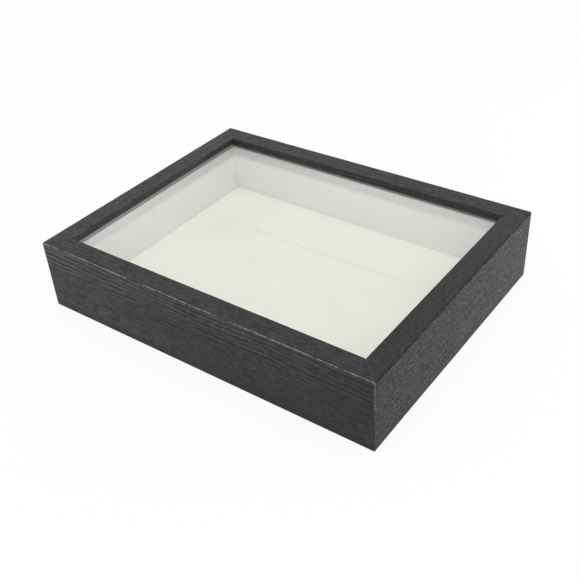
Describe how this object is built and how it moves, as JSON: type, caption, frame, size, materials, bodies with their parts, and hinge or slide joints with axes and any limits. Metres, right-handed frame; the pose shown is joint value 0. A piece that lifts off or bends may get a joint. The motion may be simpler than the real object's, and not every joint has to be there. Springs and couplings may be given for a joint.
{
  "type": "shadow box",
  "caption": "Deep glazed display frame of mitred wood-grain rails with a pale lined cavity and a lift-off backing held by turn buttons.",
  "frame": {"origin": "centre of the rear rim's footprint, on the plane that the rear rim rests on", "axes": "+X along the long rails to the right, +Y towards the top rail, +Z out through the glass; the box lies on its back"},
  "size_m": [0.22, 0.17, 0.0435],
  "materials": {
    "rail_finish": "charcoal embossed wood-grain wrap, satin",
    "glazing": "clear float glass",
    "lining_board": "white papered board, matt",
    "backing_cover": "cream papered cover, matt",
    "backing_panel": "raw fibreboard",
    "plated_steel": "zinc plated"
  },
  "bodies": {
    "backing": {"backing_board": "backing_panel", "backing_sheet": "backing_cover", "landscape_hanger": "plated_steel", "portrait_hanger": "plated_steel", "landscape_hanger_nail_1": "plated_steel", "landscape_hanger_nail_2": "plated_steel", "portrait_hanger_nail_1": "plated_steel", "portrait_hanger_nail_2": "plated_steel"},
    "frame": {"bottom_rail": "rail_finish", "right_rail": "rail_finish", "top_rail": "rail_finish", "left_rail": "rail_finish", "corner_nail_bottom_left": "plated_steel", "corner_nail_bottom_right": "plated_steel", "corner_nail_top_right": "plated_steel", "corner_nail_top_left": "plated_steel", "glass_pane": "glazing", "bottom_lining": "lining_board", "right_lining": "lining_board", "top_lining": "lining_board", "left_lining": "lining_board", "button_screw_bottom_1": "plated_steel", "button_screw_bottom_2": "plated_steel", "button_screw_right": "plated_steel", "button_screw_top_1": "plated_steel", "button_screw_top_2": "plated_steel", "button_screw_left": "plated_steel"},
    "button_bottom_1": {"turn_button_bottom_1": "plated_steel"},
    "button_bottom_2": {"turn_button_bottom_2": "plated_steel"},
    "button_right": {"turn_button_right": "plated_steel"},
    "button_top_1": {"turn_button_top_1": "plated_steel"},
    "button_top_2": {"turn_button_top_2": "plated_steel"},
    "button_left": {"turn_button_left": "plated_steel"}
  },
  "joints": [
    {"name": "frame_lift", "type": "slide", "parent": "backing", "child": "frame", "axis": [0, 0, 1], "range_m": [0, 0.08]},
    {"name": "turn_bottom_1", "type": "hinge", "parent": "frame", "child": "button_bottom_1", "pos_m": [-0.0594, -0.0807, 0.0012], "axis": [0, 0, 1], "range_deg": [0, 90]},
    {"name": "turn_bottom_2", "type": "hinge", "parent": "frame", "child": "button_bottom_2", "pos_m": [0.0594, -0.0807, 0.0012], "axis": [0, 0, 1], "range_deg": [0, 90]},
    {"name": "turn_right", "type": "hinge", "parent": "frame", "child": "button_right", "pos_m": [0.1057, 0, 0.0012], "axis": [0, 0, 1], "range_deg": [0, 90]},
    {"name": "turn_top_1", "type": "hinge", "parent": "frame", "child": "button_top_1", "pos_m": [0.0594, 0.0807, 0.0012], "axis": [0, 0, 1], "range_deg": [0, 90]},
    {"name": "turn_top_2", "type": "hinge", "parent": "frame", "child": "button_top_2", "pos_m": [-0.0594, 0.0807, 0.0012], "axis": [0, 0, 1], "range_deg": [0, 90]},
    {"name": "turn_left", "type": "hinge", "parent": "frame", "child": "button_left", "pos_m": [-0.1057, 0, 0.0012], "axis": [0, 0, 1], "range_deg": [0, 90]}
  ]
}
